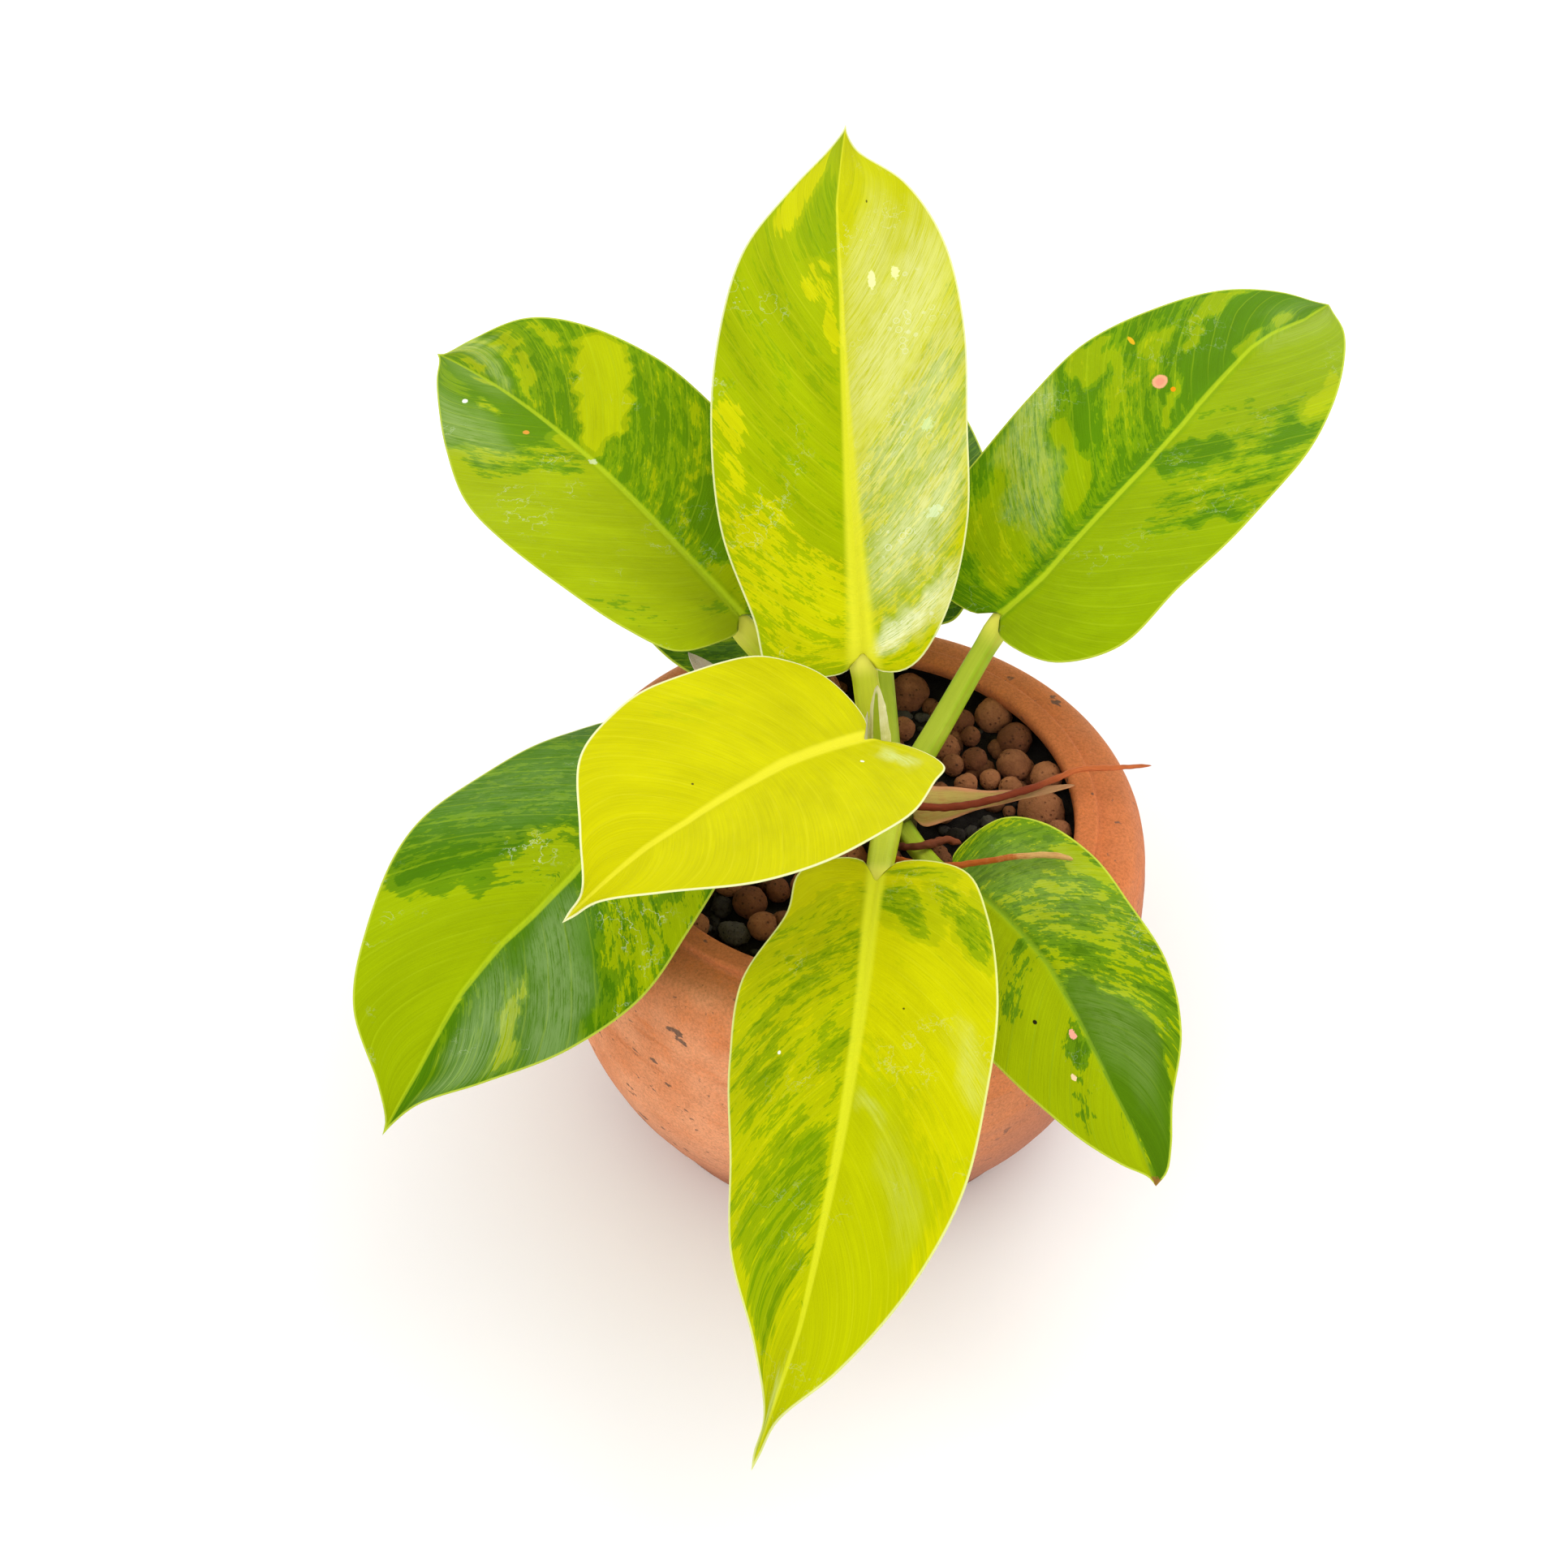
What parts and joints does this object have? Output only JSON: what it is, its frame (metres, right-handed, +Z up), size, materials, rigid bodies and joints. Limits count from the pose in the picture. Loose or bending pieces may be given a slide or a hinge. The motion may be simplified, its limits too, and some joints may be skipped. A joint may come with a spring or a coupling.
{
  "type": "potted variegated moonlight philodendron",
  "caption": "Rosette of broad pointed yellow and green variegated leaves on long stalks in a round-bellied terracotta pot filled with clay pebbles.",
  "frame": {"origin": "centre of the pot's flat underside, where the object rests", "axes": "+Z up along the pot's axis, -Y towards the front of the plant, +X to its right as seen from the front"},
  "size_m": [0.3948, 0.5486, 0.3172],
  "materials": {
    "terracotta": "matte unglazed terracotta with wiped streaks and small grey spots",
    "growing_medium": "dark damp bark and charcoal mix",
    "clay_pebbles": "rough brown fired clay pebbles",
    "stem": "green fleshy stem with pale leaf scars",
    "new_growth": "smooth pale green new growth with a cream sheath",
    "aerial_roots": "smooth red-brown to orange roots with pale tips",
    "leaf_yellow": "satin yellow-lime leaf with a cream midrib and fine green streaks",
    "leaf_variegated": "satin leaf with dark green and lime sectors along its side veins",
    "cataphylls": "papery tan scale, pinkish when fresh"
  },
  "bodies": {
    "root": {"pot": "terracotta", "growing_medium": "growing_medium", "clay_pebbles": "clay_pebbles", "stem": "stem", "new_leaf_spear": "new_growth", "spear_sheath": "new_growth", "aerial_root_right": "aerial_roots", "aerial_root_short": "aerial_roots", "aerial_root_front": "aerial_roots", "leaf_young": "leaf_yellow", "leaf_top": "leaf_yellow", "leaf_front": "leaf_yellow", "leaf_back_right": "leaf_variegated", "leaf_back_left": "leaf_variegated", "leaf_front_left": "leaf_variegated", "leaf_front_right": "leaf_variegated", "leaf_back_low": "leaf_variegated", "leaf_left_low": "leaf_variegated", "dried_cataphyll": "cataphylls", "pink_cataphyll": "cataphylls"}
  },
  "joints": []
}
